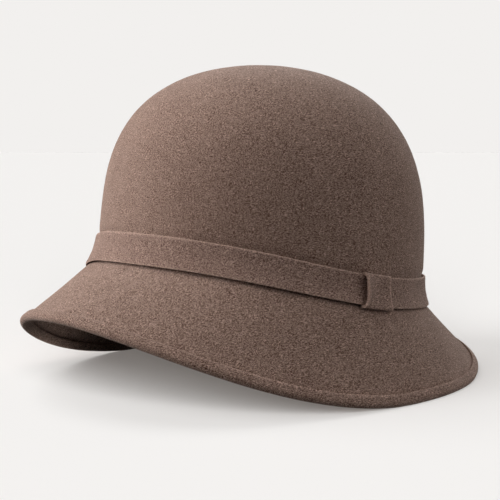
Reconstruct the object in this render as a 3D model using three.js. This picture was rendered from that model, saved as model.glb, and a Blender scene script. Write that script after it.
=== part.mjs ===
// A felt cloche: crown and brim blocked from one piece of felt, a felt band with its keeper,
// and a felt binding folded round the edge of the brim.
// Millimetres, Z up. The front of the hat faces -Y and the wearer's left faces +X.
// The origin is the middle of the brim's outline, on the surface that the hat rests on.
import * as THREE from "three";
import { ParametricGeometry } from "three/addons/geometries/ParametricGeometry.js";

const { degToRad } = THREE.MathUtils;

// Felt walls, and the room between pieces that touch
const FELT_WALL = 2.0;
const BINDING_WALL = 1.1;
const BAND_WALL = 1.5;
const KEEPER_WALL = 1.5;
const CLEARANCE = 0.3;

// Crown, outside: half measures of its oval at the band, its height above the band's lower line
// along its own axis, how square its shoulder is (2 is a plain half ellipse) and its lean to the back
const CROWN_HALF_LENGTH = 98.8;
const CROWN_HALF_WIDTH = 87.4;
const CROWN_HEIGHT = 125.6;
const CROWN_SHOULDER = 3.59;
const CROWN_LEAN = degToRad(9.4);

// Blocking of the crown off its axis: its front swells forward up its wall, and its tip is set back
const CROWN_SWELL = 12.0;
const CROWN_SWELL_POWER = 1.5;
const CROWN_TIP_BACK = 15.6;
const CROWN_TIP_POWER = 4;

// Place of the crown: its axis at the band's lower line, from the widest part of the brim and the floor
const CROWN_SETBACK = -4.4;
const CROWN_RAISE = 51.3;

// Band: its width up the crown, how far its lower line spreads, how far that line dips at the sides,
// how much flatter the dip is than a plain wave, and the room under it down to the bend of the brim
const BAND_WIDTH = 16.0;
const BAND_SPREAD = 3.6;
const BAND_DIP = 3.5;
const BAND_DIP_FLATTENING = 0.7;
const BAND_STANDOFF = 1.6;
const BAND_EDGE_ROUNDING = 0.8;
const BAND_END_GAP = 0.6;

// Keeper: a loop of felt over the ends of the band, standing further off at its front edge
const KEEPER_ANGLE = degToRad(87.7);
const KEEPER_WIDTH = 18.5;
const KEEPER_LIP = 0.9;
const KEEPER_FRONT_LIFT = 1.2;

// Brim: reach of its outline from its widest part, and the rise of its edge off the floor
const BRIM_FRONT_REACH = 149.2;
const BRIM_BACK_REACH = 134.0;
const BRIM_HALF_WIDTH = 115.0;
const BRIM_FRONT_RISE = 45.9;
const BRIM_RISE_START = degToRad(90);
const BRIM_RISE_POWER = 2.1;
const BRIM_BACK_RISE = 11.0;
const BRIM_BACK_RISE_START = degToRad(110);
const BEND_ROUNDING = 1.5;

// Binding: how far its flaps reach up the brim from the felt's cut edge
const BINDING_FLAP = 3.8;
const BINDING_EDGE_ROUNDING = 0.4;
const BINDING_END_GAP = 0.5;

// Fineness of the surfaces
const COLUMNS = 72;
const DOME_ROWS = 15;
const BEND_ROWS = 2;
const BRIM_ROWS = 4;
const NOSE_SEGMENTS = 3;
const KEEPER_STEPS = 6;
const SMALL_TURN = 1e-4;

const NOSE_RADIUS = FELT_WALL / 2 + CLEARANCE + BINDING_WALL;
const BRIM_MIDDLE = (BRIM_FRONT_REACH - BRIM_BACK_REACH) / 2;
const FULL_TURN = 2 * Math.PI;

const hat = new THREE.Group();
const crownFrame = new THREE.Group();
crownFrame.position.set(0, BRIM_MIDDLE + CROWN_SETBACK, CROWN_RAISE);
crownFrame.rotation.x = -CROWN_LEAN;
hat.add(crownFrame);
hat.updateMatrixWorld(true);

// Height of the band's lower line on the crown. An angle runs round the hat from its front to +X.
function bandBottom(angle) {
  return BAND_DIP * Math.cos(2 * angle) - BAND_DIP_FLATTENING * Math.cos(4 * angle);
}

// A point on the crown's outer wall, in the crown's own frame, or away from the wall by outwards.
function crownWall(angle, height, outwards = 0) {
  const bandTop = bandBottom(angle) + BAND_WIDTH;
  const level = Math.max(height, bandTop) / CROWN_HEIGHT;
  const share = Math.sqrt(1 - Math.min(level, 1) ** CROWN_SHOULDER);
  const spread = (BAND_SPREAD * Math.max(bandTop - height, 0)) / BAND_WIDTH;
  const swell = CROWN_SWELL * level ** CROWN_SWELL_POWER;
  const forward = swell - CROWN_TIP_BACK * level ** CROWN_TIP_POWER;
  return new THREE.Vector3(
    (CROWN_HALF_WIDTH * share + spread + outwards) * Math.sin(angle),
    -(CROWN_HALF_LENGTH * share + spread + outwards) * Math.cos(angle) - forward,
    height,
  );
}

// Height of the finished edge of the brim: an arch over the face, flat sides, a small arch behind.
function edgeRise(angle) {
  const turn = Math.abs(Math.atan2(Math.sin(angle), Math.cos(angle)));
  const front = Math.cos((Math.PI / 2) * Math.min(turn / BRIM_RISE_START, 1));
  const back = THREE.MathUtils.smoothstep(turn, BRIM_BACK_RISE_START, Math.PI);
  return BRIM_FRONT_RISE * front ** BRIM_RISE_POWER + BRIM_BACK_RISE * back;
}

// A point on the finished outline of the brim.
function brimOutline(angle) {
  const reach = Math.cos(angle) > 0 ? BRIM_FRONT_REACH : BRIM_BACK_REACH;
  return new THREE.Vector3(
    BRIM_HALF_WIDTH * Math.sin(angle),
    BRIM_MIDDLE - reach * Math.cos(angle),
    edgeRise(angle),
  );
}

// The felt's outer skin at one angle, as points from the tip of the crown to the cut edge of the brim.
function outerSkin(angle) {
  const bottom = bandBottom(angle);
  const onWall = (height) => crownFrame.localToWorld(crownWall(angle, height));
  const lastTilt = Math.acos(((bottom + BAND_WIDTH) / CROWN_HEIGHT) ** (CROWN_SHOULDER / 2));
  const points = [];
  for (let row = 0; row <= DOME_ROWS; row += 1) {
    const tilt = (lastTilt * row) / DOME_ROWS;
    points.push(onWall(CROWN_HEIGHT * Math.cos(tilt) ** (2 / CROWN_SHOULDER)));
  }
  const bend = onWall(bottom - BAND_STANDOFF);
  const aboveBend = onWall(bottom - BAND_STANDOFF + BEND_ROUNDING);
  const downBrim = brimOutline(angle).sub(bend);
  const brimLength = downBrim.length() - NOSE_RADIUS;
  downBrim.normalize();
  const onBrim = (distance) => bend.clone().addScaledVector(downBrim, distance);
  const bendCurve = new THREE.QuadraticBezierCurve3(aboveBend, bend, onBrim(BEND_ROUNDING));
  points.push(...bendCurve.getPoints(BEND_ROWS));
  const bindingLine = brimLength - BINDING_FLAP - CLEARANCE;
  for (let row = 1; row <= BRIM_ROWS; row += 1) {
    points.push(onBrim(THREE.MathUtils.lerp(BEND_ROUNDING, bindingLine, row / BRIM_ROWS)));
  }
  points.push(onBrim(brimLength));
  return points;
}

// Directions square to the outer skin at each of its points at one angle.
function skinNormals(angle) {
  const here = outerSkin(angle);
  const before = outerSkin(angle - SMALL_TURN);
  const after = outerSkin(angle + SMALL_TURN);
  return here.map((point, row) => {
    if (row === 0) {
      return new THREE.Vector3(0, 0, 1).transformDirection(crownFrame.matrixWorld);
    }
    const below = here[Math.min(row + 1, here.length - 1)];
    const down = below.clone().sub(here[row - 1]);
    const round = after[row].clone().sub(before[row]);
    return down.cross(round).normalize();
  });
}

// The whole section of the felt at one angle: down its inner skin and up its outer one.
function feltSection(angle) {
  const outer = outerSkin(angle);
  const normals = skinNormals(angle);
  const inner = outer.map((point, row) => point.clone().addScaledVector(normals[row], -FELT_WALL));
  return [...inner, ...outer.reverse()];
}

function feltBodyGeometry() {
  const sections = [];
  for (let column = 0; column < COLUMNS; column += 1) {
    sections.push(feltSection((FULL_TURN * column) / COLUMNS));
  }
  const rows = sections[0].length - 1;
  return new ParametricGeometry(
    (u, v, target) => target.copy(sections[Math.round(u * COLUMNS) % COLUMNS][Math.round(v * rows)]),
    COLUMNS,
    rows,
  );
}

// A strip of the given section from one angle to another. The section's x runs up the wall
// that carries the strip and its y away from it, and place puts such a point on the hat.
function wrappedStrip(section, fromAngle, toAngle, steps, place) {
  const geometry = new THREE.ExtrudeGeometry(section, {
    depth: 1,
    steps,
    bevelEnabled: false,
    curveSegments: NOSE_SEGMENTS,
  });
  const position = geometry.getAttribute("position");
  for (let index = 0; index < position.count; index += 1) {
    const angle = THREE.MathUtils.lerp(fromAngle, toAngle, position.getZ(index));
    const point = place(angle, position.getX(index), position.getY(index));
    position.setXYZ(index, point.x, point.y, point.z);
  }
  geometry.deleteAttribute("uv");
  geometry.computeVertexNormals();
  return geometry;
}

// Length of crown wall that one radian covers at an angle.
function wallPerRadian(angle) {
  const before = crownWall(angle - SMALL_TURN, bandBottom(angle));
  const after = crownWall(angle + SMALL_TURN, bandBottom(angle));
  return before.distanceTo(after) / (2 * SMALL_TURN);
}

// The band is one strip whose two ends meet under the keeper.
function hatBandGeometry() {
  const inside = CLEARANCE;
  const outside = inside + BAND_WALL;
  const section = new THREE.Shape([
    new THREE.Vector2(0, inside),
    new THREE.Vector2(BAND_WIDTH, inside),
    new THREE.Vector2(BAND_WIDTH, outside - BAND_EDGE_ROUNDING),
    new THREE.Vector2(BAND_WIDTH - BAND_EDGE_ROUNDING, outside),
    new THREE.Vector2(BAND_EDGE_ROUNDING, outside),
    new THREE.Vector2(0, outside - BAND_EDGE_ROUNDING),
  ]);
  const halfGap = BAND_END_GAP / 2 / wallPerRadian(KEEPER_ANGLE);
  return wrappedStrip(
    section,
    KEEPER_ANGLE + halfGap,
    KEEPER_ANGLE + FULL_TURN - halfGap,
    COLUMNS,
    (angle, up, out) => crownWall(angle, bandBottom(angle) + up, out),
  );
}

// The keeper hooks over both edges of the band and reaches back to the crown.
function bandKeeperGeometry() {
  const crownSide = CLEARANCE;
  const inside = CLEARANCE + BAND_WALL + CLEARANCE;
  const outside = inside + KEEPER_WALL;
  const bottom = -CLEARANCE;
  const top = BAND_WIDTH + CLEARANCE;
  const section = new THREE.Shape([
    new THREE.Vector2(bottom - KEEPER_LIP, crownSide),
    new THREE.Vector2(bottom, crownSide),
    new THREE.Vector2(bottom, inside),
    new THREE.Vector2(top, inside),
    new THREE.Vector2(top, crownSide),
    new THREE.Vector2(top + KEEPER_LIP, crownSide),
    new THREE.Vector2(top + KEEPER_LIP, outside - KEEPER_LIP),
    new THREE.Vector2(top, outside),
    new THREE.Vector2(bottom, outside),
    new THREE.Vector2(bottom - KEEPER_LIP, outside - KEEPER_LIP),
  ]);
  const halfTurn = KEEPER_WIDTH / 2 / wallPerRadian(KEEPER_ANGLE);
  return wrappedStrip(
    section,
    KEEPER_ANGLE - halfTurn,
    KEEPER_ANGLE + halfTurn,
    KEEPER_STEPS,
    (angle, up, out) => {
      const towardsFront = (KEEPER_ANGLE + halfTurn - angle) / (2 * halfTurn);
      const lift = out > crownSide ? KEEPER_FRONT_LIFT * towardsFront ** 2 : 0;
      return crownWall(angle, bandBottom(angle) + up, out + lift);
    },
  );
}

// The binding is a strip folded round the felt's cut edge, pressed flat where the hat rests on it.
// Its two ends meet behind the hat.
function brimBindingGeometry() {
  const over = CLEARANCE + BINDING_WALL;
  const under = -FELT_WALL - CLEARANCE - BINDING_WALL;
  const section = new THREE.Shape();
  section.moveTo(BINDING_FLAP, CLEARANCE);
  section.lineTo(BINDING_FLAP, over - BINDING_EDGE_ROUNDING);
  section.lineTo(BINDING_FLAP - BINDING_EDGE_ROUNDING, over);
  section.lineTo(0, over);
  section.absarc(0, -FELT_WALL / 2, NOSE_RADIUS, Math.PI / 2, (3 * Math.PI) / 2, false);
  section.lineTo(BINDING_FLAP - BINDING_EDGE_ROUNDING, under);
  section.lineTo(BINDING_FLAP, under + BINDING_EDGE_ROUNDING);
  section.lineTo(BINDING_FLAP, under + BINDING_WALL);
  section.lineTo(-CLEARANCE, under + BINDING_WALL);
  section.lineTo(-CLEARANCE, CLEARANCE);
  section.closePath();
  const halfGap = BINDING_END_GAP / 2 / BRIM_HALF_WIDTH;
  return wrappedStrip(
    section,
    Math.PI + halfGap,
    Math.PI + FULL_TURN - halfGap,
    COLUMNS,
    (angle, up, out) => {
      const skin = outerSkin(angle);
      const edge = skin[skin.length - 1];
      const upBrim = skin[skin.length - 2].clone().sub(edge).normalize();
      const normal = skinNormals(angle)[skin.length - 1];
      const point = edge.clone().addScaledVector(upBrim, up).addScaledVector(normal, out);
      point.z = Math.max(point.z, 0);
      return point;
    },
  );
}

function felt(color) {
  return new THREE.MeshStandardMaterial({ color, roughness: 0.95, metalness: 0 });
}

function addPiece(parent, name, geometry, color) {
  const piece = new THREE.Mesh(geometry, felt(color));
  piece.name = name;
  parent.add(piece);
}

addPiece(hat, "felt_body", feltBodyGeometry(), "#927a6d");
addPiece(hat, "brim_binding", brimBindingGeometry(), "#8f776a");
addPiece(crownFrame, "hat_band", hatBandGeometry(), "#8d7568");
addPiece(crownFrame, "band_keeper", bandKeeperGeometry(), "#8b7366");

export default hat;
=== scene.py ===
import math

import bmesh
import bpy
from bpy.props import FloatProperty, FloatVectorProperty, IntProperty, PointerProperty
from mathutils import Matrix, Vector, noise


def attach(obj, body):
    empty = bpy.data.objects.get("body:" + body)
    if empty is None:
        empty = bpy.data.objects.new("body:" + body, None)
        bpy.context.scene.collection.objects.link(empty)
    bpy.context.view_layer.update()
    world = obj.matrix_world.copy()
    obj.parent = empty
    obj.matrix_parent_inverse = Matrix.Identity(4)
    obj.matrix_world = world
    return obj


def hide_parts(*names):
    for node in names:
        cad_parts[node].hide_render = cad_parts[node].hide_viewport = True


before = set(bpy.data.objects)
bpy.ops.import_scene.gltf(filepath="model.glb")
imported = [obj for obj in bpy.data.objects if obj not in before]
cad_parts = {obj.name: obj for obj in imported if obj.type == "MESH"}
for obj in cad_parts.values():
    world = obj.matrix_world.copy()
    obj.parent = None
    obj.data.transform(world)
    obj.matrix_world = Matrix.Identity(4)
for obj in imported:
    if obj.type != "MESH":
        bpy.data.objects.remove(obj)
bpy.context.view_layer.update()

bl_info = {
    "name": "Felt cloche",
    "version": (1, 0, 0),
    "blender": (4, 5, 0),
    "location": "View3D > Sidebar > Cloche",
    "description": "Blocks a felt cloche with its band, keeper and bound brim",
    "category": "Object",
}

FULL_TURN = 2 * math.pi
SMALL_TURN = 1e-4
IMAGE_SIDE = 500
SENSOR_WIDTH = 36.0
FLOOR_HALF = 200.0
FLOOR_ROOM = 0.0002
HAT_LIT = "Lit as the hat"
FLOOR_LIT = "Lit as the floor"
# Name of the layer that holds the painted highlight along cut edges.
EDGE_HIGHLIGHT_LAYER = "cut_edge"

# Unevenness of blocked felt: waves in a metre, share of its depth, and where its noise starts.
UNEVENNESS = (
    (22.0, 1.0, (0.0, 0.0, 0.0)),
    (70.0, 0.35, (5.0, 3.0, 1.0)),
    (330.0, 0.2, (1.0, 7.0, 2.0)),
)

# Beyond this many widths a pull in the felt has faded away.
FADED = 4

# How suddenly a form sets in, where a higher power is later and steeper.
CREASE_POWER = 4
SIDE_DIP_POWER = 4
SIDE_HANG_POWER = 6
SKIRT_POWER = 4
KEEPER_FLARE_POWER = 2.2
KEEPER_LIFT_POWER = 3
KEEPER_BACK_LIFT_POWER = 6

# How square a section is, where 2 is round.
BAND_FACE = 2.6
KEEPER_FACE = 9.0
KEEPER_HOOK = 4.0

# Steps of the small pieces. The keeper's are closer together at its front.
BAND_SIDES = 40
BINDING_STEPS = 26
KEEPER_STEPS = (72, 28)
KEEPER_SPACING = 3

SOFT_CORNER = math.radians(50)
BAND_RELIEF = 0.6
BINDING_WANDER_SCALE = 180.0
KEEPER_HOOK_LIFT = 0.4

# Painted highlights along cut edges, where their rounded edges catch the light: how strong, and how far in
# from the edge.
# The binding's reach is in metres, and the others are shares of the strip's half width or of the keeper's
# length.
BINDING_HIGHLIGHT = (0.35, 0.0007)
BAND_TOP_HIGHLIGHT = (1.0, 0.09)
BAND_FOOT_HIGHLIGHT = (0.5, 0.09)
KEEPER_FRONT_HIGHLIGHT = (0.65, 0.045)
KEEPER_BACK_HIGHLIGHT = (1.5, 0.05)
KEEPER_TOP_HIGHLIGHT = (0.5, 0.08)

# Tone of the wool: its mean, and how much red, green and blue change with it.
MEAN_TONE = 0.36
TONE_TINT = (1.0, 0.73, 0.60)
DARKEST = 0.004
SHEEN_TINT = (1.0, 0.9, 0.83, 1.0)

# Pattern of the wool: scales of its noises, the range of each that counts, and its share of the tone.
WANDER_SCALE = 160.0
WANDER_SHARE = 0.004
CLOUD_SCALE = 60.0
CLOUD_SHARE = 0.14
GRAIN_SCALE = 2900.0
GRAIN_RANGE = (0.38, 0.62)
GRAIN_SHARE = 0.35
FIBRE_SCALE = 2700.0
FIBRE_STRETCH = (1.0, 0.26, 1.0)
FIBRE_RANGE = (0.52, 0.66)
FIBRE_SHARE = 0.32

# Each lay of fibres is turned and moved in its own way.
FIBRE_LAYS = (
    ((0.3, 0.2, 0.5), (0.0, 0.0, 0.0)),
    ((0.9, 1.1, 2.1), (0.3, 0.1, 0.2)),
    ((2.0, 0.4, 1.2), (0.1, 0.4, 0.6)),
)

# Wide lights: strength, then turn from the camera's side, height and width in degrees.
HAT_LIGHTS = {
    "low left": (2.1, -90, 10, 50),
    "front left": (0.6, -60, 10, 60),
    "left": (0.75, -90, 35, 50),
    "high left": (1.1, -90, 62, 50),
    "back left": (1.05, -120, 10, 50),
    "rim": (1.25, 158, 20, 40),
    "right": (0.7, 90, 22, 60),
    "front right": (0.3, 45, 40, 70),
}
FLOOR_LIGHTS = {
    "floor, front": (5.3, 0, 20, 40),
    "floor, left": (1.4, -60, 35, 40),
    "floor, back left": (0.72, -120, 60, 40),
}

# The spot of floor that lights the underside of the raised front, and where it fades.
BOUNCE_SPOT = (-0.080, -0.086, 0.0)
BOUNCE_CORE = 0.008
BOUNCE_EDGE = 0.036

# Height of a direction at which the soft light from above sets in and is full.
AIR_STARTS = -0.05
AIR_FULL = 0.05


def length(name, description, default):
    return FloatProperty(name=name, description=description, default=default, unit="LENGTH", precision=5)


def turn(name, description, degrees):
    angle = math.radians(degrees)
    return FloatProperty(name=name, description=description, default=angle, subtype="ANGLE")


def factor(name, description, default):
    return FloatProperty(name=name, description=description, default=default)


def count(name, description, default):
    return IntProperty(name=name, description=description, default=default, min=1)


def colour(name, description, default):
    return FloatVectorProperty(name=name, description=description, default=default, subtype="COLOR",
                               min=0.0, max=1.0)


class ClocheSizes(bpy.types.PropertyGroup):
    felt_wall: length("Felt", "Thickness of the crown and brim", 0.002)
    clearance: length("Clearance", "Room between pieces that touch", 0.0003)

    crown_half_length: length("Crown half length", "Half the crown's oval from front to back", 0.0988)
    crown_half_width: length("Crown half width", "Half the crown's oval from side to side", 0.0874)
    crown_height: length("Crown height", "Height along its axis above the band's lower line", 0.1256)
    crown_shoulder: factor("Crown shoulder", "How square the shoulder is, 2 is half an ellipse", 3.59)
    crown_lean: turn("Crown lean", "Lean of the crown to the back", 9.4)
    crown_swell: length("Front swell", "How far the front is blocked forward up the wall", 0.012)
    crown_swell_power: factor("Swell power", "How late the front swells up the wall", 1.5)
    crown_tip_back: length("Tip set back", "How far the tip is set back again", 0.0156)
    crown_tip_power: factor("Tip power", "How close to the tip the setting back begins", 4.0)
    crown_setback: length("Crown setback", "Crown axis behind the brim's widest part", -0.0044)
    crown_raise: length("Crown raise", "Height of the band's lower line above the floor", 0.0513)

    band_width: length("Band width", "Width of the band up the crown", 0.016)
    band_wall: length("Band thickness", "Thickness of the band", 0.0015)
    band_spread: length("Band spread", "How far the foot of the crown spreads under the band", 0.0036)
    band_dip: length("Band dip", "How far the band's line dips at the sides", 0.0035)
    band_dip_flattening: length("Dip flattening", "How much flatter the dip is than a plain wave", 0.0007)
    band_flare: factor("Band flare", "How late down its width the band spreads", 2.3)
    side_dip: length("Side dip", "How far the band dips further at the wearer's right", 0.0024)
    side_hang: length("Side hang", "How far the band's lower edge hangs down besides", 0.0021)
    side_hang_angle: turn("Side hang angle", "Where it hangs down, from the front", -50.0)
    side_hang_width: turn("Side hang width", "Half the width of that stretch", 33.0)
    side_dip_angle: turn("Side dip angle", "Where the further dip is, from the front", -66.0)
    side_dip_width: turn("Side dip width", "Half the width of that dip", 40.0)
    pinch: length("Pinch", "How far the band pulls the crown in at its upper edge", 0.0007)
    pinch_reach: length("Pinch reach", "How far up the crown the pull shows", 0.0024)
    crease: length("Crease", "Depth of the crease under the band", 0.0016)
    band_standoff: length("Band standoff", "Room under the band down to the bend of the brim", 0.0016)
    band_end_gap: length("Band end gap", "Gap between the band's two ends under the keeper", 0.0006)
    band_skirt: length("Band skirt", "How far the band's lower edge stands out", 0.0005)
    band_edge: factor("Band edge", "How square the band's edges are, 2 is round", 7.0)

    keeper_angle: turn("Keeper angle", "Place of the keeper round the hat from its front", 87.7)
    keeper_width: length("Keeper width", "Width of the keeper along the band", 0.0185)
    keeper_wall: length("Keeper thickness", "Thickness of the keeper", 0.0015)
    keeper_lip: length("Keeper lip", "How far the keeper reaches past each edge of the band", 0.0009)
    keeper_drop: length("Keeper drop", "How far the keeper sits below the band's middle", 0.0004)
    keeper_lift: length("Keeper lift", "How far the keeper's front edge stands off the band", 0.0032)
    keeper_back_lift: length("Keeper back lift", "How far its back edge stands off", 0.0004)
    keeper_flare: length("Keeper flare", "How far its lower front corner runs forward", 0.0026)
    keeper_shift: length("Keeper shift", "How far its front edge is drawn back", 0.0005)
    keeper_back: length("Keeper back", "How far its back edge runs on", 0.001)
    keeper_edge: length("Keeper edge", "Rounding of the keeper's edges", 0.0004)

    brim_front_reach: length("Brim front reach", "From the widest part of the brim to its front", 0.1492)
    brim_back_reach: length("Brim back reach", "From the widest part of the brim to its back", 0.134)
    brim_half_width: length("Brim half width", "Half the brim from side to side", 0.115)
    brim_front_rise: length("Front rise", "Rise of the brim's edge over the face", 0.0459)
    brim_rise_start: turn("Rise start", "Where round the hat the front begins to rise", 90.0)
    brim_rise_power: factor("Rise power", "How late the front rises", 2.1)
    brim_back_rise: length("Back rise", "Rise of the brim's edge behind", 0.011)
    brim_back_rise_start: turn("Back rise start", "Where round the hat the back begins to rise", 110.0)
    bend_rounding: length("Bend rounding", "Rounding of the bend between crown and brim", 0.0022)

    binding_wall: length("Binding thickness", "Thickness of the binding", 0.0011)
    binding_flap: length("Binding flap", "Reach of the binding up the brim from the felt's cut edge", 0.0038)
    binding_wander: length("Binding wander", "How far the edge of the binding wanders", 0.00025)
    groove: length("Groove", "Depth of the groove that the stitches pull along the binding", 0.0002)
    stitch_pull: length("Stitch pull", "How far the stitches pull in the binding's flaps", 0.0004)
    groove_width: length("Groove width", "Half the width of that groove", 0.0007)
    binding_end_gap: length("Binding end gap", "Gap between the binding's two ends behind the hat", 0.0005)
    binding_edge: length("Binding edge", "Rounding of the binding's edges", 0.0005)

    columns: count("Columns", "Steps round the hat", 360)
    dome_rows: count("Dome rows", "Steps from the tip to the pinched felt", 60)
    pinch_rows: count("Pinch rows", "Steps down the pinched felt to the band", 12)
    wall_rows: count("Wall rows", "Steps under the band", 9)
    bend_rows: count("Bend rows", "Steps round the bend", 6)
    brim_rows: count("Brim rows", "Steps down the brim to the groove", 24)
    groove_rows: count("Groove rows", "Steps across the groove", 12)


class ClocheFinish(bpy.types.PropertyGroup):
    body_colour: colour("Body felt", "Colour of the crown and brim", (0.300, 0.190, 0.146))
    binding_colour: colour("Binding felt", "Colour of the binding", (0.300, 0.190, 0.146))
    band_colour: colour("Band felt", "Colour of the band", (0.292, 0.184, 0.141))
    keeper_colour: colour("Keeper felt", "Colour of the keeper", (0.292, 0.184, 0.141))
    sheen: factor("Nap", "Strength of the soft light on the nap of the felt", 0.25)
    mottle: factor("Mottle", "How much paler the fibres are than the ground between them", 0.67)
    # Strength of the painted highlight along cut edges, which stands in for light caught on their rounded
    # edges.
    edge_highlight_strength: factor("Edge light", "How much paler the felt is along its cut edges", 0.32)
    nap_depth: length("Nap depth", "Depth of the nap of matted fibres", 0.00018)
    relief: length("Blocking relief", "Depth of the slow unevenness left by blocking", 0.00025)


class ClocheStage(bpy.types.PropertyGroup):
    camera_turn: turn("Camera turn", "Turn of the camera round the hat from its front", 46.69)
    camera_climb: turn("Camera climb", "Height of the camera above the floor as an angle", 5.0)
    camera_distance: length("Camera distance", "From the camera to the point it looks at", 0.65)
    focal_pixels: factor("Focal length", "Focal length in pixels of a 500 pixel picture", 1120.48)
    aim_right: length("Aim right", "The point looked at, to the right of the hat's middle", -0.00932)
    aim_back: length("Aim back", "The point looked at, towards the back of the hat", 0.0076)
    aim_height: length("Aim height", "Height of the point looked at", 0.07096)
    floor_colour: colour("Floor", "Colour of the floor and of what is seen behind it", (0.888, 0.871, 0.855))
    floor_shadow: colour("Full shadow", "Colour of the floor where no light reaches it", (0.12, 0.105, 0.095))
    ambient: factor("Ambient", "Strength of the soft light from above the floor", 0.01)
    bounce: factor("Bounce", "Share of its light that the floor gives back to the hat", 0.11)
    spot_bounce: factor("Spot bounce", "The same at the spot under the raised front", 0.85)
    hat_light: factor("Hat light", "Strength of the lights on the hat", 0.99)
    floor_light: factor("Floor light", "Strength of the lights on the floor", 0.975)


def near(place, edge, reach, power=2):
    """1 at the edge, fading to 0 past its reach."""
    return math.exp(-(abs((place - edge) / reach) ** power))


def turn_between(angle, other):
    off = angle - other
    return abs(math.atan2(math.sin(off), math.cos(off)))


class Hat:
    """The hat's own lines. An angle runs round it from its front to the wearer's left."""

    def __init__(self, sizes):
        for name in ClocheSizes.__annotations__:
            setattr(self, name, getattr(sizes, name))
        self.nose = self.felt_wall / 2 + self.clearance + self.binding_wall
        self.brim_middle = (self.brim_front_reach - self.brim_back_reach) / 2
        place = Vector((0, self.brim_middle + self.crown_setback, self.crown_raise))
        self.crown_frame = Matrix.Translation(place) @ Matrix.Rotation(-self.crown_lean, 4, "X")
        self.crown_up = self.crown_frame.to_3x3() @ Vector((0, 0, 1))

    def band_foot(self, angle):
        """Height of the band's lower line on the crown."""
        wave = self.band_dip * math.cos(2 * angle) - self.band_dip_flattening * math.cos(4 * angle)
        off = turn_between(angle, self.side_dip_angle)
        return wave - self.side_dip * near(off, 0.0, self.side_dip_width, SIDE_DIP_POWER)

    def hang_share(self, angle):
        """How much of the band's side hang there is."""
        return near(turn_between(angle, self.side_hang_angle), 0.0, self.side_hang_width, SIDE_HANG_POWER)

    def crown_wall(self, angle, height, out=0.0):
        """A point at a height up the crown's own axis, so far out from its felt."""
        band_top = self.band_foot(angle) + self.band_width
        level = min(max(height, band_top) / self.crown_height, 1.0)
        share = math.sqrt(1.0 - level**self.crown_shoulder)
        spread = self.band_spread * (max(band_top - height, 0.0) / self.band_width) ** self.band_flare
        swell = self.crown_swell * level**self.crown_swell_power
        forward = swell - self.crown_tip_back * level**self.crown_tip_power
        across = (self.crown_half_width * share + spread + out) * math.sin(angle)
        along = -(self.crown_half_length * share + spread + out) * math.cos(angle) - forward
        return self.crown_frame @ Vector((across, along, height))

    def edge_rise(self, angle):
        turned = turn_between(angle, 0.0)
        front = math.cos(math.pi / 2 * min(turned / self.brim_rise_start, 1.0))
        back = (turned - self.brim_back_rise_start) / (math.pi - self.brim_back_rise_start)
        back = min(max(back, 0.0), 1.0)
        back = back * back * (3 - 2 * back)
        return self.brim_front_rise * max(front, 0.0) ** self.brim_rise_power + self.brim_back_rise * back

    def brim_outline(self, angle):
        reach = self.brim_front_reach if math.cos(angle) > 0 else self.brim_back_reach
        across = self.brim_half_width * math.sin(angle)
        along = self.brim_middle - reach * math.cos(angle)
        return Vector((across, along, self.edge_rise(angle)))

    def bend(self, angle):
        return self.crown_wall(angle, self.band_foot(angle) - self.band_standoff)

    def brim_run(self, angle):
        """Direction down the brim, its length to the felt's cut edge, and the direction square to it."""
        bend = self.bend(angle)
        down = self.brim_outline(angle) - bend
        reach = down.length - self.nose
        down.normalize()
        along = self.brim_outline(angle + SMALL_TURN) - self.brim_outline(angle - SMALL_TURN)
        return down, reach, down.cross(along).normalized()

    def skin_section(self, angle):
        """Points from the tip of the crown to the felt's cut edge."""
        foot = self.band_foot(angle)
        band_top = foot + self.band_width
        pinch_height = FADED * self.pinch_reach
        pinch_top = band_top + pinch_height
        last_tilt = math.acos((pinch_top / self.crown_height) ** (self.crown_shoulder / 2))
        points = []
        for row in range(self.dome_rows + 1):
            tilt = last_tilt * row / self.dome_rows
            height = self.crown_height * math.cos(tilt) ** (2 / self.crown_shoulder)
            points.append(self.crown_wall(angle, height))
        for row in range(1, self.pinch_rows + 1):
            above = pinch_height * (1 - row / self.pinch_rows)
            pulled = self.pinch * near(above, 0.0, self.pinch_reach)
            points.append(self.crown_wall(angle, band_top + above, -pulled))
        wall_foot = foot - self.band_standoff + self.bend_rounding
        for row in range(1, self.wall_rows + 1):
            share = row / self.wall_rows
            pulled = self.pinch + (self.crease - self.pinch) * share**CREASE_POWER
            points.append(self.crown_wall(angle, band_top + (wall_foot - band_top) * share, -pulled))
        wall_end, bend = points[-1], self.bend(angle)
        down, reach, square = self.brim_run(angle)
        onto_brim = bend + down * self.bend_rounding
        for row in range(1, self.bend_rows + 1):
            share = row / self.bend_rows
            points.append(wall_end.lerp(bend, share).lerp(bend.lerp(onto_brim, share), share))
        stitched = reach - self.binding_flap - self.groove_width / 2
        starts, ends = stitched - FADED * self.groove_width, stitched + FADED * self.groove_width
        plain = starts - self.bend_rounding
        runs = [self.bend_rounding + plain * row / self.brim_rows for row in range(1, self.brim_rows + 1)]
        runs += [starts + (ends - starts) * row / self.groove_rows for row in range(1, self.groove_rows + 1)]
        for run in [*runs, reach]:
            pulled = self.groove * near(run, stitched, self.groove_width)
            points.append(bend + down * run - square * pulled)
        return points

    def wall_per_radian(self, angle):
        foot = self.band_foot(angle)
        before = self.crown_wall(angle - SMALL_TURN, foot)
        return (self.crown_wall(angle + SMALL_TURN, foot) - before).length / (2 * SMALL_TURN)


def shown(name, blank, node):
    """A finished piece from a blank, standing for its CAD node."""
    mesh = bpy.data.meshes.new(name)
    blank.to_mesh(mesh)
    blank.free()
    mesh.shade_smooth()
    piece = bpy.data.objects.new(name, mesh)
    bpy.context.scene.collection.objects.link(piece)
    bpy.data.collections[HAT_LIT].objects.link(piece)
    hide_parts(node)
    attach(piece, "root")
    return piece


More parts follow.
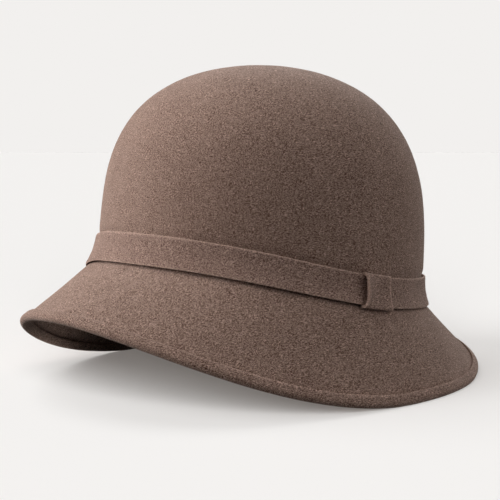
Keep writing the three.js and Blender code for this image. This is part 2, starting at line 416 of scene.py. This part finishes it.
def spun_disc(rows, columns):
    """A flat disc of felt: a line of points spun round the tip, a unit apart."""
    blank = bmesh.new()
    tip = blank.verts.new((0, 0, 0))
    rim = blank.verts.new((0, -rows, 0))
    line = blank.edges.new((tip, rim))
    bmesh.ops.subdivide_edges(blank, edges=[line], cuts=rows - 1)
    bmesh.ops.spin(blank, geom=blank.verts[:] + blank.edges[:], cent=(0, 0, 0), axis=(0, 0, 1),
                   angle=FULL_TURN, steps=columns, use_merge=True)
    bmesh.ops.remove_doubles(blank, verts=blank.verts[:], dist=1e-3)
    return blank


def flat_strip(around, along):
    """A flat strip of felt, one unit each way: x across it, y along it."""
    blank = bmesh.new()
    bmesh.ops.create_grid(blank, x_segments=around, y_segments=along, size=0.5)
    bmesh.ops.translate(blank, verts=blank.verts[:], vec=(0.5, 0.5, 0))
    return blank


def squared(place, squareness):
    """Moves a place on a circle out to a squarer section, where 2 leaves it round."""
    return math.copysign(abs(place) ** (2 / squareness), place)


def highlight_layer(blank):
    """Holds the painted highlight at each point near a cut edge, where the rounded edge catches the light."""
    return blank.verts.layers.float.new(EDGE_HIGHLIGHT_LAYER)


# A painted highlight, strongest at an edge and fading past its reach.
def painted_highlight(place, edge, highlight):
    strength, reach = highlight
    return strength * near(place, edge, reach)


def face_outwards(blank, outwards):
    bmesh.ops.recalc_face_normals(blank, faces=blank.faces[:])
    if sum(face.normal.dot(outwards) for face in blank.faces) < 0:
        bmesh.ops.reverse_faces(blank, faces=blank.faces[:])


def unevenness(point, depth):
    """Slow unevenness of a hand-blocked felt, and finer ones from its wool."""
    waves = (share * noise.noise(point * scale + Vector(start)) for scale, share, start in UNEVENNESS)
    return depth * sum(waves)


def roughen(blank, depth):
    """Move the finished form's points in and out by the unevenness of its felt."""
    bmesh.ops.recalc_face_normals(blank, faces=blank.faces[:])
    blank.normal_update()
    moves = [vert.normal * unevenness(vert.co, depth) for vert in blank.verts]
    for vert, move in zip(blank.verts, moves):
        vert.co += move


def add_thickness(piece, thickness):
    """Thicken the felt inwards."""
    wall = piece.modifiers.new("Felt thickness", "SOLIDIFY")
    wall.thickness = thickness
    wall.offset = -1.0
    wall.use_even_offset = True
    wall.use_rim = True


def round_edges(piece, width, segments):
    edge = piece.modifiers.new("Soft edges", "BEVEL")
    edge.width = width
    edge.segments = segments
    edge.limit_method = "ANGLE"
    edge.angle_limit = SOFT_CORNER
    edge.harden_normals = False


class Values:
    """A value socket. Arithmetic on it adds Math nodes."""

    def __init__(self, bench, socket):
        self.bench = bench
        self.socket = socket

    def math(self, operation, *others):
        node = self.bench.node("ShaderNodeMath", {"operation": operation}, dict(enumerate([self, *others])))
        return Values(self.bench, node.outputs[0])

    def __add__(self, other):
        return self.math("ADD", other)

    def __sub__(self, other):
        return self.math("SUBTRACT", other)

    def __mul__(self, other):
        return self.math("MULTIPLY", other)

    def __rsub__(self, other):
        return (self * -1.0).math("ADD", other)

    __radd__ = __add__
    __rmul__ = __mul__

    def clamped(self):
        return self.math("MAXIMUM", 0.0).math("MINIMUM", 1.0)

    def over(self, start, end):
        """0 at start, 1 at end."""
        return ((self - start) * (1.0 / (end - start))).clamped()


class Bench:
    """Where the nodes of one material, or of the world, are put together."""

    def __init__(self, owner):
        owner.use_nodes = True
        self.owner = owner
        self.tree = owner.node_tree
        self.tree.nodes.clear()

    def value(self, socket):
        return Values(self, socket)

    def node(self, kind, settings=None, inputs=None):
        node = self.tree.nodes.new(kind)
        for name, value in (settings or {}).items():
            setattr(node, name, value)
        for name, value in (inputs or {}).items():
            value = value.socket if isinstance(value, Values) else value
            if isinstance(value, bpy.types.NodeSocket):
                self.tree.links.new(value, node.inputs[name])
            else:
                node.inputs[name].default_value = value
        return node

    def noise(self, where, scale, detail, roughness=0.5):
        inputs = {"Vector": where, "Scale": scale, "Detail": detail, "Roughness": roughness}
        return Values(self, self.node("ShaderNodeTexNoise", inputs=inputs).outputs[0])

    def mapped(self, where, turned, scale, moved):
        inputs = {"Vector": where, "Location": moved, "Rotation": turned, "Scale": scale}
        return self.node("ShaderNodeMapping", inputs=inputs).outputs["Vector"]

    def mix(self, share, first, second):
        settings = {"data_type": "RGBA", "blend_type": "MIX"}
        return self.node("ShaderNodeMix", settings, {0: share, 6: first, 7: second}).outputs[2]


def shade(rgb, share):
    return (*(channel * share for channel in rgb), 1.0)


def wool_felt(name, rgb, finish):
    """Wool felt: clouded wool, fine grain, matted short fibres that lie every way, and a painted highlight
    along cut edges.
    """
    bench = Bench(bpy.data.materials.new(name))
    where = bench.node("ShaderNodeTexCoord").outputs["Object"]
    wander = bench.node("ShaderNodeTexNoise", inputs={"Vector": where, "Scale": WANDER_SCALE, "Detail": 2.0})
    blend = {0: WANDER_SHARE, 4: where, 5: wander.outputs["Color"]}
    wandered = bench.node("ShaderNodeMix", {"data_type": "VECTOR"}, blend).outputs[1]

    clouds = bench.noise(where, CLOUD_SCALE, 3.0)
    cut_edge = bench.value(bench.node("ShaderNodeAttribute", {"attribute_name": EDGE_HIGHLIGHT_LAYER}).outputs["Fac"])
    grain = bench.noise(wandered, GRAIN_SCALE, 1.0, 0.6).over(*GRAIN_RANGE)
    first, second, third = (
        bench.noise(bench.mapped(wandered, turned, FIBRE_STRETCH, moved), FIBRE_SCALE, 0.0).over(*FIBRE_RANGE)
        for turned, moved in FIBRE_LAYS
    )
    matted = (first + second + third) * FIBRE_SHARE + grain * GRAIN_SHARE
    # Cut edges are made paler by a painted highlight.
    tone = matted + (clouds - 0.5) * CLOUD_SHARE + cut_edge * finish.edge_highlight_strength

    spread = [finish.mottle * tint for tint in TONE_TINT]
    ground = [max(channel - MEAN_TONE * part, DARKEST) for channel, part in zip(rgb, spread)]
    pale = [channel + (1.0 - MEAN_TONE) * part for channel, part in zip(rgb, spread)]
    surface = bench.mix(tone.clamped(), (*ground, 1.0), (*pale, 1.0))
    nap = {"Strength": 1.0, "Distance": finish.nap_depth, "Height": matted}
    cloth = bench.node("ShaderNodeBsdfPrincipled", inputs={
        "Base Color": surface,
        "Roughness": 0.95,
        "Specular IOR Level": 0.15,
        "Sheen Weight": finish.sheen,
        "Sheen Roughness": 0.5,
        "Sheen Tint": SHEEN_TINT,
        "Normal": bench.node("ShaderNodeBump", inputs=nap).outputs["Normal"],
    })
    bench.node("ShaderNodeOutputMaterial", inputs={"Surface": cloth.outputs[0]})
    return bench.owner


class BlockBody(bpy.types.Operator):
    """Spin a disc of felt and block it into the crown and brim"""

    bl_idname = "cloche.block_body"
    bl_label = "Crown and brim"

    def execute(self, context):
        hat, finish = Hat(context.scene.cloche_sizes), context.scene.cloche_finish
        sections = [hat.skin_section(FULL_TURN * column / hat.columns) for column in range(hat.columns)]
        rows = len(sections[0]) - 1
        blank = spun_disc(rows, hat.columns)
        for vert in blank.verts:
            around = math.atan2(vert.co.x, -vert.co.y) / FULL_TURN * hat.columns
            vert.co = sections[round(around) % hat.columns][round(vert.co.length)]
        roughen(blank, finish.relief)
        piece = shown("crown_and_brim", blank, "felt_body")
        add_thickness(piece, hat.felt_wall)
        piece.data.materials.append(wool_felt("Wool felt, body", finish.body_colour, finish))
        return {"FINISHED"}


class FoldBinding(bpy.types.Operator):
    """Fold a strip of felt round the cut edge of the brim"""

    bl_idname = "cloche.fold_binding"
    bl_label = "Brim binding"

    def execute(self, context):
        hat, finish = Hat(context.scene.cloche_sizes), context.scene.cloche_finish
        flap = hat.binding_flap
        run = flap * 2 + math.pi * hat.nose
        half_gap = hat.binding_end_gap / 2 / hat.brim_half_width
        blank = flat_strip(BINDING_STEPS, hat.columns * 2)
        edge = highlight_layer(blank)
        for vert in blank.verts:
            angle = math.pi + half_gap + (FULL_TURN - 2 * half_gap) * vert.co.y
            along = vert.co.x * run
            if along < flap:
                up, out = flap - along, hat.nose
            elif along > run - flap:
                up, out = along - (run - flap), -hat.nose
            else:
                bent = (along - flap) / hat.nose
                up, out = -math.sin(bent) * hat.nose, math.cos(bent) * hat.nose
            down, reach, square = hat.brim_run(angle)
            out -= math.copysign(hat.stitch_pull * near(up, flap, hat.groove_width), out)
            wander = noise.noise(hat.brim_outline(angle) * BINDING_WANDER_SCALE) * hat.binding_wander
            up += wander * max(up, 0.0) / flap
            middle = hat.bend(angle) + down * (reach - up) + square * (out - hat.felt_wall / 2)
            middle += square * unevenness(middle, finish.relief)
            middle.z = max(middle.z, 0.0)
            # Painted highlight along the edge of the flap.
            vert[edge] = painted_highlight(up, flap, BINDING_HIGHLIGHT)
            vert.co = middle
        bmesh.ops.recalc_face_normals(blank, faces=blank.faces[:])
        piece = shown("brim_edge_binding", blank, "brim_binding")
        add_thickness(piece, hat.binding_wall)
        round_edges(piece, hat.binding_edge, segments=3)
        piece.data.materials.append(wool_felt("Wool felt, binding", finish.binding_colour, finish))
        return {"FINISHED"}


class LayBand(bpy.types.Operator):
    """Lay a strip of felt round the foot of the crown"""

    bl_idname = "cloche.lay_band"
    bl_label = "Hat band"

    def execute(self, context):
        hat, finish = Hat(context.scene.cloche_sizes), context.scene.cloche_finish
        blank = bmesh.new()
        bmesh.ops.create_circle(blank, cap_ends=True, segments=BAND_SIDES, radius=1.0)
        steps = hat.columns * 2
        section = blank.verts[:] + blank.edges[:] + blank.faces[:]
        bmesh.ops.spin(blank, geom=section, cent=(0, 0, 0), axis=(0, 0, 1), dvec=(0, 0, 1 / steps),
                       angle=0.0, steps=steps)
        half_gap = hat.band_end_gap / 2 / hat.wall_per_radian(hat.keeper_angle)
        edge = highlight_layer(blank)
        for vert in blank.verts:
            angle = hat.keeper_angle + half_gap + (FULL_TURN - 2 * half_gap) * vert.co.z
            across = squared(vert.co.x, hat.band_edge)
            off = squared(vert.co.y, BAND_FACE)
            hanging = hat.hang_share(angle) * (1 + off) / 2
            hang = hat.side_hang * hanging
            up = (hat.band_width + hang) / 2 * (1 + across) - hang
            skirt = hat.band_skirt * ((1 - across) / 2) ** SKIRT_POWER * (1 - hanging)
            out = hat.clearance + hat.band_wall / 2 * (1 + off) + skirt
            # Painted highlight along the band's top and lower edges.
            vert[edge] = painted_highlight(across, 1.0, BAND_TOP_HIGHLIGHT) + painted_highlight(across, -1.0, BAND_FOOT_HIGHLIGHT)
            point = hat.crown_wall(angle, hat.band_foot(angle) + max(up, 0.0), out)
            vert.co = point + hat.crown_up * min(up, 0.0)
        bmesh.ops.remove_doubles(blank, verts=blank.verts[:], dist=1e-6)
        roughen(blank, finish.relief * BAND_RELIEF)
        piece = shown("crown_band", blank, "hat_band")
        piece.data.materials.append(wool_felt("Wool felt, band", finish.band_colour, finish))
        return {"FINISHED"}


class WrapKeeper(bpy.types.Operator):
    """Wrap the keeper over the ends of the band"""

    bl_idname = "cloche.wrap_keeper"
    bl_label = "Band keeper"

    def execute(self, context):
        hat, finish = Hat(context.scene.cloche_sizes), context.scene.cloche_finish
        blank = flat_strip(*KEEPER_STEPS)
        edge = highlight_layer(blank)
        per_radian = hat.wall_per_radian(hat.keeper_angle)
        half_turn = hat.keeper_width / 2 / per_radian
        half_height = hat.band_width / 2 + hat.clearance + hat.keeper_lip
        depth = hat.clearance + hat.band_wall + hat.keeper_wall
        for vert in blank.verts:
            side, to_back = 2 * vert.co.x - 1, vert.co.y
            to_front = 1 - to_back
            bent = math.pi / 2 * (1 + math.copysign(abs(side) ** KEEPER_SPACING, side))
            across = squared(-math.cos(bent), KEEPER_FACE)
            off = squared(max(math.sin(bent), 0.0), KEEPER_HOOK)
            flare = hat.keeper_flare * to_front * max(-across, 0.0) ** KEEPER_FLARE_POWER
            along = (hat.keeper_shift - flare) * to_front + hat.keeper_back * to_back
            angle = hat.keeper_angle + half_turn * (to_back - to_front) + along / per_radian
            bow = KEEPER_HOOK_LIFT + (1 - KEEPER_HOOK_LIFT) * (1 - across * across)
            lift = hat.keeper_lift * to_front**KEEPER_LIFT_POWER * bow
            lift += hat.keeper_back_lift * to_back**KEEPER_BACK_LIFT_POWER
            # Painted highlight along the keeper's front, back and top edges.
            ends = painted_highlight(to_front, 1.0, KEEPER_FRONT_HIGHLIGHT) + painted_highlight(to_front, 0.0, KEEPER_BACK_HIGHLIGHT)
            vert[edge] = ends + painted_highlight(across, 1.0, KEEPER_TOP_HIGHLIGHT)
            out = hat.clearance + (depth + lift) * off
            middle = hat.band_foot(angle) + hat.band_width / 2 - hat.keeper_drop
            vert.co = hat.crown_wall(angle, middle + half_height * across, out)
        face_outwards(blank, Vector((1, 0, 0)))
        piece = shown("band_keeper_loop", blank, "band_keeper")
        add_thickness(piece, hat.keeper_wall)
        round_edges(piece, hat.keeper_edge, segments=2)
        piece.data.materials.append(wool_felt("Wool felt, keeper", finish.keeper_colour, finish))
        return {"FINISHED"}


def direction(turned, climb):
    """The way from the hat to what stands at a turn round it and a height, both as angles."""
    return Vector((math.sin(turned) * math.cos(climb), -math.cos(turned) * math.cos(climb), math.sin(climb)))


def soft_light(name, strength, turned, climb, softness, lit):
    """A wide light for the given collection alone."""
    data = bpy.data.lights.new(name, "SUN")
    data.energy = strength
    data.angle = softness
    lamp = bpy.data.objects.new(name, data)
    lamp.rotation_mode = "QUATERNION"
    lamp.rotation_quaternion = direction(turned, climb).to_track_quat("Z", "Y")
    lamp.light_linking.receiver_collection = lit
    bpy.context.scene.collection.objects.link(lamp)


def pale_floor(stage):
    """The camera sees a pale floor. The hat gets most of its light back from the spot under its front."""
    bench = Bench(bpy.data.materials.new("Pale floor"))
    even = {"Roughness": 1.0, "Specular IOR Level": 0.0}
    seen = bench.node("ShaderNodeBsdfPrincipled", inputs={
        "Base Color": (*(lit - dark for lit, dark in zip(stage.floor_colour, stage.floor_shadow)), 1.0),
        "Emission Color": (*stage.floor_shadow, 1.0),
        "Emission Strength": 1.0,
        **even,
    })
    where = bench.node("ShaderNodeTexCoord").outputs["Object"]
    points = {0: where, 1: BOUNCE_SPOT}
    off = bench.node("ShaderNodeVectorMath", {"operation": "DISTANCE"}, points).outputs["Value"]
    spot = bench.value(off).over(BOUNCE_EDGE, BOUNCE_CORE)
    elsewhere, there = (shade(stage.floor_colour, share) for share in (stage.bounce, stage.spot_bounce))
    given = bench.mix(spot, elsewhere, there)
    giving = bench.node("ShaderNodeBsdfPrincipled", inputs={"Base Color": given, **even})
    camera = bench.node("ShaderNodeLightPath").outputs["Is Camera Ray"]
    either = bench.node("ShaderNodeMixShader", inputs={0: camera, 1: giving.outputs[0], 2: seen.outputs[0]})
    bench.node("ShaderNodeOutputMaterial", inputs={"Surface": either.outputs[0]})
    return bench.owner


def studio_air(stage):
    """Soft light from above the floor, and the floor's tone behind it for the camera."""
    bench = Bench(bpy.data.worlds.new("Studio"))
    way = bench.node("ShaderNodeTexCoord").outputs["Generated"]
    up = bench.value(bench.node("ShaderNodeSeparateXYZ", inputs={0: way}).outputs["Z"])
    strength = up.over(AIR_STARTS, AIR_FULL) * stage.ambient
    light = bench.node("ShaderNodeBackground", inputs={"Color": (1.0, 1.0, 1.0, 1.0), "Strength": strength})
    tone = bench.node("ShaderNodeBackground", inputs={"Color": (*stage.floor_colour, 1.0)})
    camera = bench.node("ShaderNodeLightPath").outputs["Is Camera Ray"]
    either = bench.node("ShaderNodeMixShader", inputs={0: camera, 1: light.outputs[0], 2: tone.outputs[0]})
    bench.node("ShaderNodeOutputWorld", inputs={"Surface": either.outputs[0]})
    return bench.owner


def lay_floor(stage):
    """A wide floor just under the hat."""
    blank = bmesh.new()
    bmesh.ops.create_grid(blank, x_segments=1, y_segments=1, size=FLOOR_HALF)
    mesh = bpy.data.meshes.new("floor")
    blank.to_mesh(mesh)
    blank.free()
    mesh.materials.append(pale_floor(stage))
    floor = bpy.data.objects.new("floor", mesh)
    floor.location.z = -FLOOR_ROOM
    bpy.context.scene.collection.objects.link(floor)
    return floor


def hang_lights(lights, share, stage, lit):
    """Hang a table's lights round the camera's side, each at a share of its strength."""
    for name, (strength, *angles) in lights.items():
        turned, climb, softness = (math.radians(degrees) for degrees in angles)
        soft_light(name, strength * share, stage.camera_turn + turned, climb, softness, lit)


def place_camera(stage):
    """Place the camera where the photograph was taken from."""
    back = direction(stage.camera_turn, stage.camera_climb)
    right = Vector((math.cos(stage.camera_turn), math.sin(stage.camera_turn), 0))
    aim = right * stage.aim_right + Vector((0, stage.aim_back, stage.aim_height))
    data = bpy.data.cameras.new("camera")
    data.sensor_width = SENSOR_WIDTH
    data.lens = stage.focal_pixels / IMAGE_SIDE * SENSOR_WIDTH
    data.clip_start, data.clip_end = 0.01, 1000.0
    camera = bpy.data.objects.new("camera", data)
    camera.rotation_mode = "QUATERNION"
    camera.location = aim + back * stage.camera_distance
    camera.rotation_quaternion = (-back).to_track_quat("-Z", "Y")
    bpy.context.scene.collection.objects.link(camera)
    bpy.context.scene.camera = camera


class SetStage(bpy.types.Operator):
    """Lay the floor, light it and the hat, and place the camera"""

    bl_idname = "cloche.set_stage"
    bl_label = "Floor, light and camera"

    def execute(self, context):
        stage = context.scene.cloche_stage
        floor = lay_floor(stage)
        hat_lit = bpy.data.collections.new(HAT_LIT)
        floor_lit = bpy.data.collections.new(FLOOR_LIT)
        floor_lit.objects.link(floor)
        hang_lights(HAT_LIGHTS, stage.hat_light, stage, hat_lit)
        hang_lights(FLOOR_LIGHTS, stage.floor_light, stage, floor_lit)
        context.scene.world = studio_air(stage)
        place_camera(stage)
        context.scene.view_settings.view_transform = "Standard"
        return {"FINISHED"}


OPERATORS = (SetStage, BlockBody, FoldBinding, LayBand, WrapKeeper)
GROUPS = {"cloche_sizes": ClocheSizes, "cloche_finish": ClocheFinish, "cloche_stage": ClocheStage}


class ClochePanel(bpy.types.Panel):
    """The steps of making the hat, and its sizes, finish and stage"""

    bl_idname = "CLOCHE_PT_make"
    bl_label = "Felt cloche"
    bl_space_type = "VIEW_3D"
    bl_region_type = "UI"
    bl_category = "Cloche"

    def draw(self, context):
        for operator in OPERATORS:
            self.layout.operator(operator.bl_idname)
        for pointer, group in GROUPS.items():
            box = self.layout.box()
            for name in group.__annotations__:
                box.prop(getattr(context.scene, pointer), name)


def register():
    for cls in (*GROUPS.values(), *OPERATORS, ClochePanel):
        bpy.utils.register_class(cls)
    for pointer, group in GROUPS.items():
        setattr(bpy.types.Scene, pointer, PointerProperty(type=group))


def unregister():
    for pointer in GROUPS:
        delattr(bpy.types.Scene, pointer)
    for cls in (ClochePanel, *reversed(OPERATORS), *GROUPS.values()):
        bpy.utils.unregister_class(cls)


def main():
    register()
    bpy.ops.cloche.set_stage()
    bpy.ops.cloche.block_body()
    bpy.ops.cloche.fold_binding()
    bpy.ops.cloche.lay_band()
    bpy.ops.cloche.wrap_keeper()
    bpy.context.view_layer.update()


if __name__ == "__main__":
    main()
